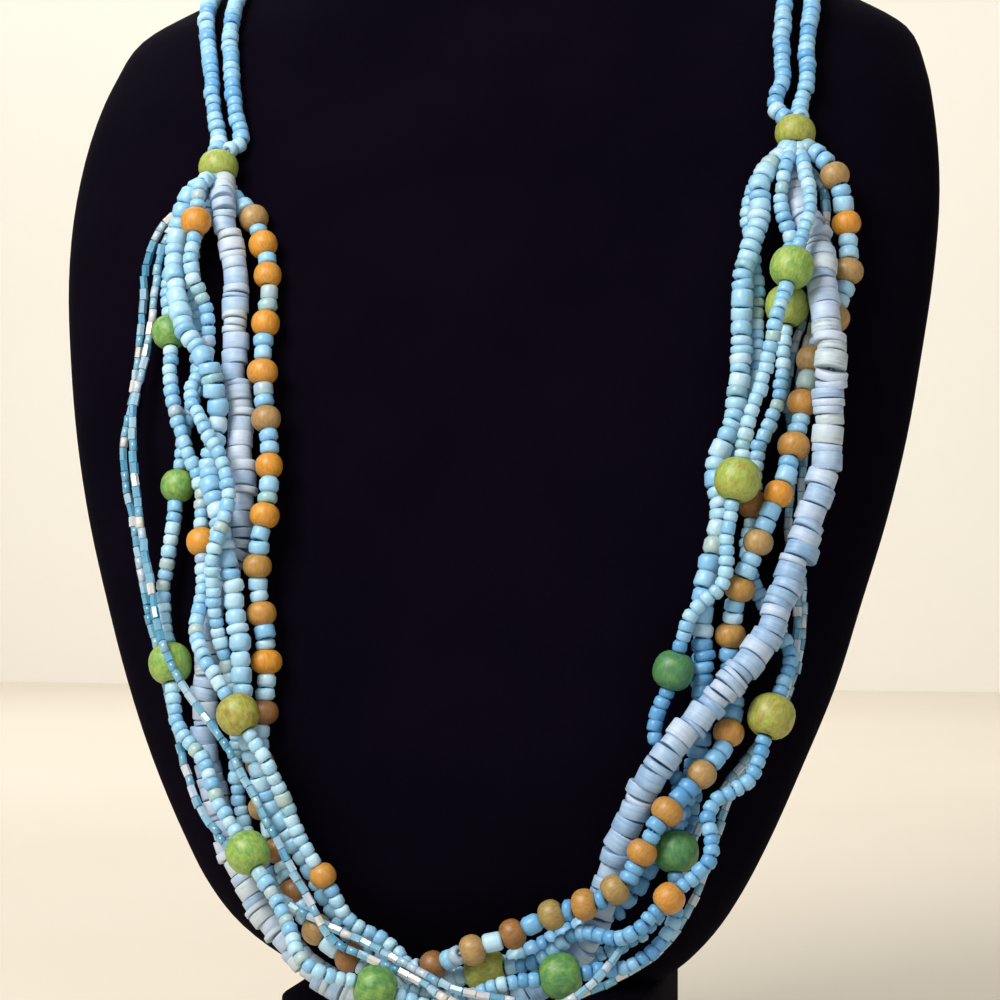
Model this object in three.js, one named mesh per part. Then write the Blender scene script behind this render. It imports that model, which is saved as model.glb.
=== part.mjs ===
// A beaded necklace of eight strands, worn by a plain velvet-covered neck bust.
// Millimetres, +Z up. The bust faces -Y and the origin is the middle of the underside of its foot.
import * as THREE from "three";
import { mergeVertices } from "three/addons/utils/BufferGeometryUtils.js";

// Neck bust
const BUST_WIDTH = 196.6;
const TORSO_HEIGHT = 296.5;
const BUST_LEAN = 50;
const CHEST_DEPTH = 30;
const BACK_DEPTH = 30;
const BUST_SQUARENESS = 2.2;
const FOOT_WIDTH = 78;
const FOOT_DEPTH = 76;
const FOOT_HEIGHT = 33.2;
const FOOT_CORNER = 10;

// Beads and their thread
const SEED_DIAMETER = 3.3;
const LARGE_SEED_DIAMETER = 4.6;
const NECK_SEED_DIAMETER = 4.5;
const CUT_BEAD_DIAMETER = 1.8;
const DISC_DIAMETER = 6.2;
const DISC_THICKNESS = 5;
const DISC_VARIATION = 0.3;
const DISC_GROOVE = 0.2;
const WOOD_DIAMETER = 6.6;
const WOOD_LENGTH = 5.4;
const WOOD_SPACER_DIAMETER = 4.2;
const GREEN_DIAMETER = 9.2;
const GREEN_LENGTH = 8.2;
const ORANGE_DIAMETER = 6.6;
const ORANGE_LENGTH = 5.6;
const GATHER_DIAMETER = 8.8;
const GATHER_LENGTH = 6.8;
const GATHER_BORE = 4.6;
const THREAD_DIAMETER = 0.8;
const THREAD_SPREAD = 3;
const THREAD_REACH = 1.6;
const THREAD_LEAD = 1.5;

// Fits: pieces keep GAP to each other, and strands lie on each other and on the velvet with REST between
const GAP = 0.3;
const REST = 0.25;

// Outline of a round bead: its curve would close a little past its faces, and is squarer than an ellipse.
// Its rings lie at shares of its length from its middle.
const BARREL_REACH = 0.54;
const BARREL_SQUARENESS = 2.3;
const BARREL_RINGS = [-0.28, 0, 0.28];
const WOOD_RINGS = [-0.5, -0.22, 0.22, 0.5];

// Steps of the solids. Discs vary in width by a wave with this turn from one to the next.
const BUST_SIDES = 24;
const CORNER_STEPS = 3;
const ROUND_SIDES = 10;
const STRING_SIDES = 8;
const SEED_STEP = 9;
const LARGE_SEED_STEP = 10.5;
const CUT_BEAD_STEP = 9.5;
const NECK_STEP = 9.5;
const CLOSE_STEP = 5;
const TOUCH_STEP = 1.5;
const ROUTE_PARTS = 12;
const SURFACE_STEP = 0.5;
const DISC_TURN = 2.4;
const MERGE = 1e-3;

// How the strands settle: how far apart they start for each rank, how fast they come down, how stiff
// they are, how strongly and for how long they keep to their route, how much they may part sideways, and
// how closely large beads follow their string. Near pairs are listed again every few rounds, and threads
// take their final order late.
const START_LIFT = 3.2;
const LOWERING_STEP = 0.12;
const LOWERING_ROUNDS = 320;
const PARTING_ROUNDS = 300;
const NECK_ROUNDS = 60;
const STIFFNESS = 0.3;
const HOMING = 0.12;
const HOMING_ROUNDS = 450;
const SIDEWAYS = 0.4;
const BEAD_TURN = 0.5;
const BEAD_EASE = 0.15;
const LISTING_ROUNDS = 5;
const THREAD_ROUNDS = 40;
const NECK_DRAWS = 12;
const NECK_EASE = 0.7;
const STEEPEST_SLANT = 1.8;
const LEAST_WEIGHT = 0.25;
const HELD_BY_THREAD = 0.8;
const FACE_MARGIN = 0.1;

// Sections of the torso and neck, from the underside up. Shares of TORSO_HEIGHT, of half BUST_WIDTH,
// of BUST_LEAN (how far back the section's middle lies), of CHEST_DEPTH and of BACK_DEPTH.
const TORSO_SECTIONS = [
  { height: 0, width: 0.403, lean: 0.06, chest: 0.57, back: 0.67 },
  { height: 0.017, width: 0.463, lean: -0.1, chest: 0.7, back: 0.87 },
  { height: 0.048, width: 0.545, lean: -0.28, chest: 0.73, back: 1 },
  { height: 0.077, width: 0.6, lean: -0.33, chest: 0.82, back: 1.07 },
  { height: 0.106, width: 0.645, lean: -0.33, chest: 0.87, back: 1.07 },
  { height: 0.162, width: 0.72, lean: -0.32, chest: 0.93, back: 1 },
  { height: 0.218, width: 0.788, lean: -0.25, chest: 0.97, back: 0.93 },
  { height: 0.278, width: 0.843, lean: -0.21, chest: 0.98, back: 0.9 },
  { height: 0.337, width: 0.895, lean: -0.14, chest: 1, back: 0.87 },
  { height: 0.396, width: 0.936, lean: -0.06, chest: 1, back: 0.87 },
  { height: 0.457, width: 0.966, lean: 0.03, chest: 1.02, back: 0.9 },
  { height: 0.518, width: 0.99, lean: 0.15, chest: 1.05, back: 0.93 },
  { height: 0.582, width: 1, lean: 0.33, chest: 1.08, back: 0.97 },
  { height: 0.646, width: 0.983, lean: 0.54, chest: 1.12, back: 0.93 },
  { height: 0.68, width: 0.962, lean: 0.69, chest: 1.15, back: 0.92 },
  { height: 0.715, width: 0.916, lean: 0.84, chest: 1.17, back: 0.87 },
  { height: 0.737, width: 0.814, lean: 0.92, chest: 1.13, back: 0.9 },
  { height: 0.75, width: 0.732, lean: 0.96, chest: 1.13, back: 0.93 },
  { height: 0.771, width: 0.61, lean: 1, chest: 1.13, back: 1.03 },
  { height: 0.791, width: 0.509, lean: 1, chest: 1.13, back: 1.1 },
  { height: 0.818, width: 0.427, lean: 1, chest: 1.1, back: 1.1 },
  { height: 0.865, width: 0.392, lean: 1, chest: 1.1, back: 1.1 },
  { height: 1, width: 0.376, lean: 1, chest: 1.1, back: 1.1 },
];
const TORSO_FOOT_LINE = FOOT_HEIGHT + GAP;

// The bust that the places and routes below are given for: its width, the underside of its torso, and
// the torso's height. On another bust they move with it.
const DRAWN_BUST = { width: 196.6, foot: 33.5, height: 296.5 };

// Places of the two beads that gather the strands: across, and height
const GATHER_PLACES = { left: [-56.2, 208.5], right: [67.4, 214.2] };

// Where the routes are looked at from, and how far in front of the chest they are given. A strand that
// lies on others lies nearer to this point, in line with its route.
const VIEW_POINT = new THREE.Vector3(124.5, -689, 137.8);
const ROUTE_LIFT = 4;

// Routes of the strands from the left gathering bead to the right one, chosen by hand: across, height,
// which lies on top where two meet (the greater number), and the large bead threaded there, if any,
// with its size as a share of the usual one where it differs.
const ROUTES = {
  cut_bead_string_a: [
    [-62, 203, 1], [-69, 198, 1], [-72, 190, 1], [-72, 174, 1], [-73, 161, 1], [-75, 148, 1],
    [-71, 131, 1], [-68, 116, 1], [-64, 103, 0], [-59, 85, 2], [-53, 71, 4], [-42, 61, 2],
    [-30, 52, 4], [-16, 46, 6], [-3, 40, 6], [10, 36, 6], [24, 37, 6], [36, 47, 6],
    [45, 56, 1], [50, 68, 1], [56, 78, 0], [64, 89, 0], [69, 99, 1], [71, 115, 1],
    [69, 132, 1], [70, 147, 1], [69, 160, 1], [73, 178, 0], [76, 193, 1], [73, 206, 2],
  ],
  cut_bead_string_b: [
    [-61, 203, 1], [-67, 197, 1], [-69, 188, 1], [-70, 172, 1], [-73, 156, 1], [-71, 139, 1],
    [-67, 120, 1], [-64, 108, 4], [-60, 100, 8], [-53, 92, 8], [-43, 80, 8], [-37, 68, 8],
    [-29, 55, 8], [-21, 44, 8], [-6, 37, 8], [11, 33, 7], [29, 37, 7], [45, 47, 7],
    [51, 57, 5], [55, 69, 3], [59, 81, 1], [66, 91, 0], [71, 104, 1], [72, 118, 1],
    [71, 132, 1], [72, 146, 1], [70, 160, 1], [73, 174, 0], [77, 188, 2], [75, 204, 2],
  ],
  large_seed_string: [
    [-61, 204, 4], [-65, 195, 4], [-64, 183, 4], [-60, 173, 5], [-55, 165, 5], [-54, 153, 4],
    [-54, 143, 4], [-49, 131, 7], [-48, 120, 6], [-46, 107, 3], [-44, 94, 1], [-40, 77, 5],
    [-31, 64, 5], [-25, 52, 4], [-16, 45, 1], [2, 40, 1], [21, 47, 1], [36, 55, 1],
    [44, 66, 4], [50, 78, 2], [52, 93, 2], [53, 107, 2], [52, 121, 4], [56, 131, 3],
    [54, 142, 2], [58, 156, 3], [59, 171, 3], [59, 184, 3], [62, 194, 5], [64, 206, 5],
  ],
  third_seed_string: [
    [-58.5, 205, 5], [-61.5, 198.5, 5.5, "orange"], [-59, 186, 5], [-56, 175, 5], [-57, 169, 3],
    [-59, 164, 3], [-54, 154, 7], [-49, 140, 6], [-50, 131, 3], [-52, 122, 5], [-50, 110, 5],
    [-46, 97, 1], [-45, 82, 3], [-44, 70, 3], [-35, 57, 2], [-21, 43, 2], [1, 36, 1],
    [22, 41, 1], [43, 52, 2], [49, 68, 0], [51, 90, 0], [52, 112, 1], [56, 132, 1],
    [59, 148, 1], [62, 160, 3], [62, 175, 3], [62, 185, 2], [59, 197, 4], [63, 208, 4],
  ],
  green_seed_string: [
    [-58, 203, 2], [-61, 194, 1], [-59, 176, 1], [-58, 157, 2], [-61, 141, 3, "green", 0.8],
    [-61, 125, 2], [-62, 112, 2], [-61, 103, 4, "green"], [-58, 92, 5], [-50, 77, 6],
    [-43, 64, 6, "green"], [-34, 53, 5], [-24, 43.5, 5], [-13.5, 39, 5.5, "green"], [2, 40, 5],
    [14, 39.5, 5], [24, 42, 5, "green"], [38, 44, 4], [44, 51, 2], [47, 66, 0, "green"],
    [45, 80, 0], [45, 92, 1], [46, 103, 3, "green", 0.92], [52, 113, 4], [58, 126, 5],
    [58, 142, 6, "green", 1.05], [62, 152, 5], [64, 165, 4], [66, 178, 6], [69, 186, 7, "green"],
    [71.5, 197, 6], [70.5, 208, 6],
  ],
  mixed_seed_string: [
    [-58, 203, 1], [-63, 192, 1], [-65, 174, 2, "green", 0.84], [-61, 160, 3], [-60, 145, 3],
    [-54.3, 129, 3, "orange"], [-56, 115, 4], [-51, 100, 5], [-45, 93, 5, "green", 0.96], [-37, 80, 5],
    [-31, 68, 6], [-26, 60, 6, "orange", 0.84], [-19, 50, 3], [-8, 44, 2], [8, 41, 3, "green"],
    [20, 44, 7], [36, 51, 7], [46, 56, 7, "orange"], [51, 65, 6], [54, 76, 6],
    [66, 93, 6, "green", 1.05], [66, 107, 4], [63, 122, 2], [62, 137, 2, "orange"], [66, 154, 3],
    [67, 168, 4], [68, 179, 5, "green"], [68, 193, 3], [66, 200, 3], [68, 209, 3],
  ],
  disc_string: [
    [-55, 202, 4], [-51, 192, 4], [-50, 178, 4], [-48, 160, 4], [-46, 144, 4], [-46, 130, 4],
    [-51, 120, 2], [-53, 110, 3], [-54, 97, 3], [-52, 80, 3], [-46, 63, 2], [-37, 49, 2],
    [-25, 38, 3], [-9, 32, 3], [8, 33, 3], [23, 42, 1], [31, 53, 0], [36, 67, 3],
    [44, 83, 7], [53, 95, 8], [63, 107, 8], [70, 124, 8], [76, 143, 8], [77, 160, 8],
    [76, 177, 8], [74, 191, 5], [69, 202, 3], [68, 210, 3],
  ],
  // Every second wooden bead, between the two ends
  wood_string: [
    [-53, 203, 6], [-49, 199, 6], [-43, 186, 6], [-43, 165, 6], [-40, 145, 6], [-42, 124, 6],
    [-39, 104, 6], [-41, 83, 1], [-36, 65, 2], [-27, 49, 3], [-12, 40, 3], [6, 45, 8],
    [22, 53, 8], [35, 58, 8], [45, 74, 9], [58, 90, 5], [57, 110, 5], [63, 129, 6],
    [70, 149, 6], [73, 167, 5], [80, 186, 6], [76, 206, 5], [72, 212, 5],
  ],
};

// Routes of the two strands over the shoulders and behind the neck: across, depth, height
const NECK_ROUTES = {
  neck_string_outer: [
    [-58.5, -10.5, 216.5], [-60.5, -3, 224], [-64, 4, 236], [-68, 20, 250], [-66, 50, 262],
    [-50, 72, 266], [-28, 82, 267], [0, 87, 267], [28, 82, 267], [50, 72, 266], [67, 50, 262],
    [70, 20, 250], [70, 7, 237],
    [70.5, 0, 228], [69.8, -7, 222.5],
  ],
  neck_string_inner: [
    [-54, -11.5, 216.5], [-55.5, -6, 224], [-59.5, 5, 238], [-61, 20, 252], [-58, 50, 266],
    [-44, 70, 271], [-25, 81, 272], [0, 86, 272], [25, 81, 272], [44, 70, 271], [60, 50, 266],
    [64, 20, 252], [64.5, 7, 240],
    [65.5, -3, 228], [65, -7.5, 222.5],
  ],
};

const COLOURS = {
  velvet: { color: 0x0a0612, roughness: 0.95, metalness: 0 },
  pale_blue_glass: { color: 0xa4cde4, roughness: 0.45, metalness: 0 },
  aqua_cut_glass: { color: 0x4fa6c8, roughness: 0.12, metalness: 0 },
  grey_blue_disc: { color: 0xb4c4d6, roughness: 0.6, metalness: 0 },
  amber_wood: { color: 0xd0922c, roughness: 0.5, metalness: 0 },
  green_wood: { color: 0x8a9a38, roughness: 0.5, metalness: 0 },
};

// Sections and surface of the bust

function onBust([across, height]) {
  const share = (height - DRAWN_BUST.foot) / DRAWN_BUST.height;
  return [(across * BUST_WIDTH) / DRAWN_BUST.width, TORSO_FOOT_LINE + share * TORSO_HEIGHT];
}

function sectionAt(height) {
  const rows = TORSO_SECTIONS;
  const share = (height - TORSO_FOOT_LINE) / TORSO_HEIGHT;
  let above = 1;
  while (above < rows.length - 1 && rows[above].height < share) above++;
  const [a, b] = [rows[above - 1], rows[above]];
  const t = THREE.MathUtils.clamp((share - a.height) / (b.height - a.height), 0, 1);
  const between = (key) => THREE.MathUtils.lerp(a[key], b[key], t);
  return {
    halfWidth: (between("width") * BUST_WIDTH) / 2,
    middle: between("lean") * BUST_LEAN,
    chest: between("chest") * CHEST_DEPTH,
    back: between("back") * BACK_DEPTH,
  };
}

function sectionPoint(height, angle) {
  const { halfWidth, middle, chest, back } = sectionAt(height);
  const bend = (value) => Math.sign(value) * Math.abs(value) ** (2 / BUST_SQUARENESS);
  const depth = Math.sin(angle) < 0 ? chest : back;
  return [halfWidth * bend(Math.cos(angle)), middle + depth * bend(Math.sin(angle))];
}

// Depth of the chest's surface, or null beside the bust
function chestAt(across, height) {
  const { halfWidth, middle, chest } = sectionAt(height);
  const share = Math.abs(across) / halfWidth;
  if (share >= 1) return null;
  return middle - chest * (1 - share ** BUST_SQUARENESS) ** (1 / BUST_SQUARENESS);
}

// Where a strand that hangs from above meets the bust: below its fullest part it hangs plumb
function drapedAt(across, height) {
  let nearest = chestAt(across, height);
  for (const row of TORSO_SECTIONS) {
    const level = TORSO_FOOT_LINE + row.height * TORSO_HEIGHT;
    const depth = level > height ? chestAt(across, level) : null;
    if (depth !== null && (nearest === null || depth < nearest)) nearest = depth;
  }
  return nearest;
}

// How much further forward a bead's middle lies than its radius, on a slanting surface
function slantAt(across, height) {
  const step = SURFACE_STEP;
  const dx = drapedAt(across + step, height) - drapedAt(across - step, height);
  const dz = drapedAt(across, height + step) - drapedAt(across, height - step);
  return Math.min(Math.hypot(1, dx / (2 * step), dz / (2 * step)), STEEPEST_SLANT);
}

// Distance of a point outside the bust's surface, and the way out
function awayFromBust(point) {
  const field = (x, y, z) => {
    const { halfWidth, middle, chest, back } = sectionAt(z);
    const across = Math.abs(x) / halfWidth;
    const along = Math.abs(y - middle) / (y < middle ? chest : back);
    return (across ** BUST_SQUARENESS + along ** BUST_SQUARENESS) ** (1 / BUST_SQUARENESS) - 1;
  };
  const step = SURFACE_STEP;
  const { x, y, z } = point;
  const slope = new THREE.Vector3(
    field(x + step, y, z) - field(x - step, y, z),
    field(x, y + step, z) - field(x, y - step, z),
    field(x, y, z + step) - field(x, y, z - step),
  ).divideScalar(2 * step);
  const steepness = slope.length();
  return { distance: field(x, y, z) / steepness, way: slope.divideScalar(steepness) };
}

// Solids of revolution, straight or bent along a spine

function closed(geometry) {
  geometry.deleteAttribute("normal");
  geometry.deleteAttribute("uv");
  return mergeVertices(geometry, MERGE);
}

function turned(profile, sides) {
  return new THREE.LatheGeometry(
    profile.map(([radius, along]) => new THREE.Vector2(radius, along)),
    sides,
  );
}

// rings: place along the spine, counted in its points, and radius
function bentSolid(points, rings, sides) {
  const spine = new THREE.CatmullRomCurve3(points, false, "centripetal");
  const last = points.length - 1;
  const ends = [{ place: 0, radius: 0 }, ...rings, { place: last, radius: 0 }];
  const geometry = turned(ends.map((ring, i) => [ring.radius, i]), sides);
  const frames = [];
  let across = new THREE.Vector3(1, 0.1, 0.2);
  for (const ring of ends) {
    const along = spine.getTangent(ring.place / last);
    across = across.clone().addScaledVector(along, -across.dot(along)).normalize();
    const up = new THREE.Vector3().crossVectors(across, along);
    frames.push({ centre: spine.getPoint(ring.place / last), across, up });
  }
  const position = geometry.getAttribute("position");
  for (let i = 0; i < position.count; i++) {
    const { centre, across: side, up } = frames[Math.round(position.getY(i))];
    const vertex = centre.clone();
    vertex.addScaledVector(side, position.getX(i));
    vertex.addScaledVector(up, position.getZ(i));
    position.setXYZ(i, vertex.x, vertex.y, vertex.z);
  }
  return closed(geometry);
}

// Radius of a barrel-shaped bead at a distance from its middle
function barrelRadius(diameter, length, offset) {
  const share = Math.min(Math.abs(offset) / (length * BARREL_REACH), 1);
  return (diameter / 2) * (1 - share ** BARREL_SQUARENESS) ** (1 / BARREL_SQUARENESS);
}

function barrelGeometry(diameter, length, bore) {
  const outside = BARREL_RINGS.map((share) => [
    barrelRadius(diameter, length, share * length),
    share * length,
  ]);
  const [start, end] = [[bore / 2, -length / 2], [bore / 2, length / 2]];
  return closed(turned([start, ...outside, end, start], ROUND_SIDES));
}

// The strands as chains of points: across and height follow the route, depth is settled below

const THREADED = {
  green: { diameter: GREEN_DIAMETER, length: GREEN_LENGTH },
  orange: { diameter: ORANGE_DIAMETER, length: ORANGE_LENGTH },
};

const STRANDS = {
  cut_bead_string_a: { diameter: CUT_BEAD_DIAMETER, step: CUT_BEAD_STEP },
  cut_bead_string_b: { diameter: CUT_BEAD_DIAMETER, step: CUT_BEAD_STEP },
  large_seed_string: { diameter: LARGE_SEED_DIAMETER, step: LARGE_SEED_STEP },
  third_seed_string: { diameter: SEED_DIAMETER, step: SEED_STEP },
  green_seed_string: { diameter: SEED_DIAMETER, step: SEED_STEP },
  mixed_seed_string: { diameter: SEED_DIAMETER, step: SEED_STEP },
  disc_string: { diameter: DISC_DIAMETER + DISC_VARIATION, step: CLOSE_STEP },
  wood_string: { diameter: WOOD_SPACER_DIAMETER, step: CLOSE_STEP },
};

function gatherBead(side) {
  const [across, height] = onBust(GATHER_PLACES[side]);
  const depth = chestAt(across, height);
  const step = SURFACE_STEP;
  const up = new THREE.Vector3(0, chestAt(across, height + step) - depth, step).normalize();
  const slantX = (chestAt(across + step, height) - depth) / step;
  const out = new THREE.Vector3(slantX, -1, up.y / up.z).normalize();
  const centre = new THREE.Vector3(across, depth, height);
  centre.addScaledVector(out, GATHER_DIAMETER / 2 + REST);
  return { centre, up, out, side: new THREE.Vector3().crossVectors(up, out).negate() };
}

const GATHER = { left: gatherBead("left"), right: gatherBead("right") };

// Two points on a thread: inside a gathering bead, and at its mouth. direction is -1 below, 1 above,
// and angle is the thread's place round the bore.
function threadEnds(sideName, direction, angle) {
  const { centre, up, out, side } = GATHER[sideName];
  const spread = THREAD_SPREAD / 2;
  return [GATHER_LENGTH / 2 - THREAD_REACH, GATHER_LENGTH / 2 + GAP].map((along) =>
    centre
      .clone()
      .addScaledVector(up, direction * along)
      .addScaledVector(side, spread * Math.cos(angle))
      .addScaledVector(out, spread * Math.sin(angle)),
  );
}

// Threads enter a gathering bead evenly round its bore, in the order in which their strands leave it
function spreadThreads(chains, sideName, direction) {
  const { centre, out, side } = GATHER[sideName];
  const ends = chains.map(({ nodes }) => {
    const chainEnd = sideName === "left" ? nodes.slice(0, 3) : nodes.slice(-3).reverse();
    const way = chainEnd[2].point.clone().sub(centre);
    return { chainEnd, angle: Math.atan2(way.dot(out), way.dot(side)) };
  });
  ends.sort((one, other) => one.angle - other.angle);
  const turn = (2 * Math.PI) / ends.length;
  const drift = ends.map(({ angle }, i) => angle - i * turn);
  const start = drift.reduce((sum, value) => sum + value, 0) / drift.length;
  ends.forEach(({ chainEnd }, i) => {
    const [inner, mouth] = threadEnds(sideName, direction, start + i * turn);
    chainEnd[0].point.copy(inner);
    chainEnd[1].point.copy(mouth);
  });
}

function routeCurve(route) {
  const places = route.map(onBust).map(([across, height]) => new THREE.Vector3(across, 0, height));
  const curve = new THREE.CatmullRomCurve3(places, false, "centripetal");
  const fine = ROUTE_PARTS * (route.length - 1);
  const samples = [];
  let length = 0;
  for (let i = 0; i <= fine; i++) {
    const point = curve.getPoint(i / fine);
    if (i) length += point.distanceTo(samples[i - 1].point);
    const row = Math.min(Math.floor(i / ROUTE_PARTS), route.length - 2);
    const rank = THREE.MathUtils.lerp(route[row][2], route[row + 1][2], i / ROUTE_PARTS - row);
    samples.push({ point, length, rank });
  }
  return samples;
}

function sampleAt(samples, length) {
  let above = 1;
  while (above < samples.length - 1 && samples[above].length < length) above++;
  const [a, b] = [samples[above - 1], samples[above]];
  const t = THREE.MathUtils.clamp((length - a.length) / (b.length - a.length), 0, 1);
  return { point: a.point.clone().lerp(b.point, t), rank: THREE.MathUtils.lerp(a.rank, b.rank, t) };
}

function makeChain(name) {
  const { diameter, step } = STRANDS[name];
  const route = ROUTES[name];
  const samples = routeCurve(route);
  const total = samples[samples.length - 1].length;
  const placeOfRow = (row) => samples[ROUTE_PARTS * row].length;
  const beads = [];
  route.forEach(([, , , kind, size = 1], i) => {
    if (!kind) return;
    const { diameter: width, length } = THREADED[kind];
    beads.push({ kind, middle: placeOfRow(i), diameter: width * size, length: length * size });
  });
  if (name === "wood_string") {
    for (let half = 2; half <= 2 * (route.length - 2); half++) {
      const middle = (placeOfRow(Math.floor(half / 2)) + placeOfRow(Math.ceil(half / 2))) / 2;
      beads.push({ kind: "wood", middle, diameter: WOOD_DIAMETER, length: WOOD_LENGTH });
    }
  }
  // Nodes: evenly spaced between the large beads, with one at each face of a bead
  const threaded = beads.filter((bead) => bead.kind !== "wood");
  const joints = [{ length: 0, ...sampleAt(samples, 0) }];
  const addJoints = (end) => {
    const start = joints[joints.length - 1].length;
    const parts = Math.max(1, Math.round((end - start) / step));
    for (let k = 1; k <= parts; k++) {
      const length = THREE.MathUtils.lerp(start, end, k / parts);
      joints.push({ length, ...sampleAt(samples, length) });
    }
  };
  for (const bead of threaded) {
    addJoints(bead.middle - bead.length / 2);
    bead.first = joints.length + 1;
    const length = bead.middle + bead.length / 2;
    joints.push({ length, ...sampleAt(samples, length) });
  }
  addJoints(total);
  const first = threadEnds("left", -1, 0);
  const final = threadEnds("right", -1, 0).reverse();
  const pin = (point, length) => ({ point, length, pinned: true });
  const nodes = [
    pin(first[0], -2 * THREAD_LEAD),
    pin(first[1], -THREAD_LEAD),
    ...joints,
    pin(final[0], total + THREAD_LEAD),
    pin(final[1], total + 2 * THREAD_LEAD),
  ];
  const radiusAt = (length) => {
    if (length < 0 || length > total) {
      const out = (length < 0 ? -length : length - total) / THREAD_LEAD;
      return THREE.MathUtils.lerp(diameter / 2, THREAD_DIAMETER / 2, Math.min(out, 1));
    }
    let radius = diameter / 2;
    for (const bead of beads) {
      const offset = Math.abs(length - bead.middle);
      if (offset > bead.length / 2 + FACE_MARGIN) continue;
      radius = Math.max(radius, barrelRadius(bead.diameter, bead.length, offset));
    }
    return radius;
  };
  return { name, nodes, beads, threaded, radiusAt, total, diameter };
}

// Points along a chain, each between two of its nodes, closer together than any bead is thick
function touchPoints(chain, index) {
  const list = [];
  for (let i = 0; i < chain.nodes.length - 1; i++) {
    const [a, b] = [chain.nodes[i], chain.nodes[i + 1]];
    const parts = Math.max(1, Math.ceil(a.point.distanceTo(b.point) / TOUCH_STEP));
    for (let k = i ? 1 : 0; k <= parts; k++) {
      const t = k / parts;
      const held = (a.pinned ? 1 - t : 0) + (b.pinned ? t : 0);
      if (held > HELD_BY_THREAD) continue;
      const radius = chain.radiusAt(THREE.MathUtils.lerp(a.length, b.length, t));
      list.push({ chain: index, a, b, t, radius, point: new THREE.Vector3() });
    }
  }
  return list;
}

function placeTouch(touch) {
  touch.point.lerpVectors(touch.a.point, touch.b.point, touch.t);
}

// Moves a touch point by moving the nodes on each side of it
function moveTouch(touch, way, amount) {
  const shareA = touch.a.pinned ? 0 : 1 - touch.t;
  const shareB = touch.b.pinned ? 0 : touch.t;
  const weight = Math.max(shareA ** 2 + shareB ** 2, LEAST_WEIGHT);
  touch.a.point.addScaledVector(way, (amount * shareA) / weight);
  touch.b.point.addScaledVector(way, (amount * shareB) / weight);
}

// The way from a point towards VIEW_POINT, one millimetre forward
function wayToView(point) {
  const way = VIEW_POINT.clone().sub(point);
  return way.divideScalar(-way.y);
}

// Pairs of touch points of different strands that are, or may soon be, too close
function nearPairs(touches) {
  const cell = GREEN_DIAMETER;
  const cells = new Map();
  const key = (x, y, z) => `${Math.floor(x / cell)},${Math.floor(y / cell)},${Math.floor(z / cell)}`;
  for (const touch of touches) {
    placeTouch(touch);
    const home = key(touch.point.x, touch.point.y, touch.point.z);
    if (!cells.has(home)) cells.set(home, []);
    cells.get(home).push(touch);
  }
  const pairs = [];
  const near = [-cell, 0, cell];
  for (const one of touches) {
    const { x, y, z } = one.point;
    for (const dx of near) {
      for (const dy of near) {
        for (const dz of near) {
          for (const other of cells.get(key(x + dx, y + dy, z + dz)) ?? []) {
            const reach = one.radius + other.radius + REST;
            if (one.chain >= other.chain) continue;
            if (one.point.distanceTo(other.point) > reach + TOUCH_STEP) continue;
            pairs.push({ one, other, reach });
          }
        }
      }
    }
  }
  return pairs;
}

// Moves every pair that is too close apart, each strand by half, and gives back the worst case found.
// sideways is the share of a move that is kept across the line of view.
function partStrands(pairs, sideways) {
  const way = new THREE.Vector3();
  let worst = 0;
  for (const { one, other, reach } of pairs) {
    placeTouch(one);
    placeTouch(other);
    way.subVectors(one.point, other.point);
    const apart = way.length();
    if (apart >= reach) continue;
    way.divideScalar(Math.max(apart, MERGE));
    const toView = wayToView(one.point).normalize();
    const inLine = toView.multiplyScalar(way.dot(toView));
    way.lerp(inLine, 1 - sideways);
    moveTouch(one, way, (reach - apart) / 2);
    moveTouch(other, way, (apart - reach) / 2);
    worst = Math.max(worst, reach - apart);
  }
  return worst;
}

function liftFromChest(touches) {
  let worst = 0;
  for (const touch of touches) {
    placeTouch(touch);
    const deficit = touch.point.y - touch.floor;
    if (deficit <= 0) continue;
    moveTouch(touch, wayToView(touch.point), deficit);
    worst = Math.max(worst, deficit);
  }
  return worst;
}

// A large bead keeps the nodes at its two faces its own length apart, turns towards its string,
// and draws the next nodes into line
function keepBeads(chains) {
  for (const { nodes, threaded } of chains) {
    for (const { first, length } of threaded) {
      const around = [-1, 0, 1, 2].map((step) => nodes[first + step]);
      const [before, a, b, after] = around.map((node) => node.point);
      const middle = a.clone().lerp(b, 0.5);
      const string = after.clone().sub(before).normalize();
      const axis = b.clone().sub(a).normalize().lerp(string, BEAD_TURN).normalize();
      a.copy(middle).addScaledVector(axis, -length / 2);
      b.copy(middle).addScaledVector(axis, length / 2);
      for (const [node, face, way] of [[around[0], a, -1], [around[3], b, 1]]) {
        if (node.pinned) continue;
        const inLine = face.clone().addScaledVector(axis, way * face.distanceTo(node.point));
        node.point.lerp(inLine, BEAD_EASE);
      }
    }
  }
}

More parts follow.
